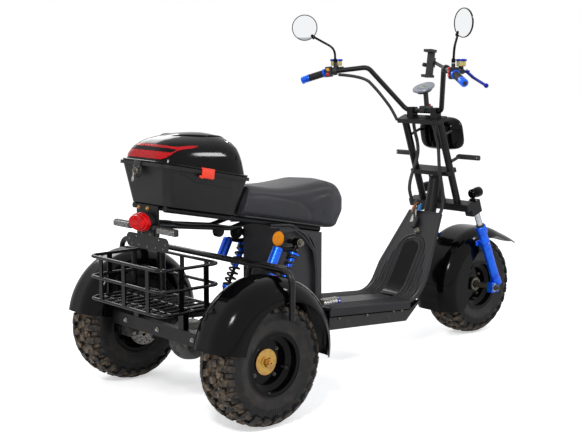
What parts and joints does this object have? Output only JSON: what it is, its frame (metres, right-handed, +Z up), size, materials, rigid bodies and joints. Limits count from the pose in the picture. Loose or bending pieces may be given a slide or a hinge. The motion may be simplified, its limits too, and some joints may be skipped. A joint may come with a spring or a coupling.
{
  "type": "electric tricycle",
  "caption": "Step-through electric tricycle with balloon tyres, high handlebar, top case and open rear basket; wheels roll, fork steers, case lid opens.",
  "frame": {"origin": "on the ground under the middle of the vehicle's overall length and width", "axes": "+X forward, +Y to the rider's left, +Z up"},
  "size_m": [2.192, 1.0722, 1.4629],
  "materials": {
    "tyre": "matt, dusty tread",
    "rim": "gloss black",
    "hub": "yellow passivated steel",
    "frame": "satin black",
    "tube_worn": "gloss black, worn brown",
    "deck": "grained dark grey",
    "pan": "dark grey",
    "box": "grained black",
    "battery": "wrapped cells",
    "seat": "charcoal synthetic leather",
    "case_tub": "grained black",
    "case_lid": "gloss black",
    "catch": "orange red",
    "motor": "dark casting",
    "disc": "drilled steel",
    "shock": "blue anodised",
    "fender": "gloss black",
    "basket": "gloss black rod",
    "red_lens": "red lens",
    "clear_lens": "smoked lens",
    "plate": "dark brown black",
    "peg": "bare and blue anodised",
    "chrome": "polished",
    "steel": "zinc plated",
    "grip": "matt",
    "lamp": "gloss black housing",
    "mirror": "mirror",
    "display": "grey housing",
    "plastic": "matt black",
    "lever": "blue anodised",
    "amber": "amber reflector",
    "red_plastic": "red buttons",
    "reservoir": "gold body, blue cap",
    "cable": "black sheath"
  },
  "bodies": {
    "chassis": {"axle_housing": "motor", "basket_floor": "basket", "basket_rails": "basket", "basket_strips": "basket", "battery_block": "battery", "battery_box": "box", "brake_caliper": "motor", "case_catches": "catch", "case_tub": "case_tub", "drive_motor": "motor", "fender_hoops": "tube_worn", "floor_pan": "pan", "foot_pegs": "peg", "footboard": "deck", "frame": "frame", "plate_bracket": "plate", "rack_loom": "cable", "rear_fenders": "fender", "rear_indicators": "clear_lens", "rear_shocks": "shock", "rear_subframe": "frame", "seat": "seat", "seat_rack": "frame", "side_reflectors": "amber", "small_electrics": "plastic", "tail_lamp": "red_lens"},
    "fork": {"fork_yoke": "frame", "fork_stanchions": "chrome", "fork_sliders": "shock", "front_axle": "steel", "front_fender": "fender", "handlebar": "frame", "grips": "grip", "brake_levers": "lever", "bar_controls": "plastic", "bar_buttons": "red_plastic", "reservoirs": "reservoir", "mirrors": "mirror", "display": "display", "phone_holder": "plastic", "headlight": "lamp", "front_indicators": "lamp", "spot_lamps": "lamp", "bar_loom": "cable", "left_front_loom": "cable", "middle_front_loom": "cable"},
    "front_wheel": {"front_tyre": "tyre", "front_rim": "rim", "front_hub": "hub"},
    "rear_left_wheel": {"rear_left_tyre": "tyre", "rear_left_rim": "rim", "rear_left_hub": "hub", "brake_disc": "disc"},
    "rear_right_wheel": {"rear_right_tyre": "tyre", "rear_right_rim": "rim", "rear_right_hub": "hub"},
    "case_lid": {"case_lid": "case_lid"}
  },
  "joints": [
    {"name": "steering", "type": "hinge", "parent": "chassis", "child": "fork", "pos_m": [0.618, 0, 0.619], "axis": [-0.342, 0, 0.9397], "range_deg": [-35, 35], "deforming": ["left_front_loom", "middle_front_loom"]},
    {"name": "front_wheel_spin", "type": "hinge", "parent": "fork", "child": "front_wheel", "pos_m": [0.816, 0, 0.2285], "axis": [0, 1, 0], "continuous": true},
    {"name": "rear_left_wheel_spin", "type": "hinge", "parent": "chassis", "child": "rear_left_wheel", "pos_m": [-0.804, 0.41, 0.2285], "axis": [0, 1, 0], "continuous": true},
    {"name": "rear_right_wheel_spin", "type": "hinge", "parent": "chassis", "child": "rear_right_wheel", "pos_m": [-0.804, -0.41, 0.2285], "axis": [0, 1, 0], "continuous": true},
    {"name": "case_lid_hinge", "type": "hinge", "parent": "chassis", "child": "case_lid", "pos_m": [-0.60857, 0, 0.83208], "axis": [0, 1, 0], "range_deg": [0, 75]}
  ]
}
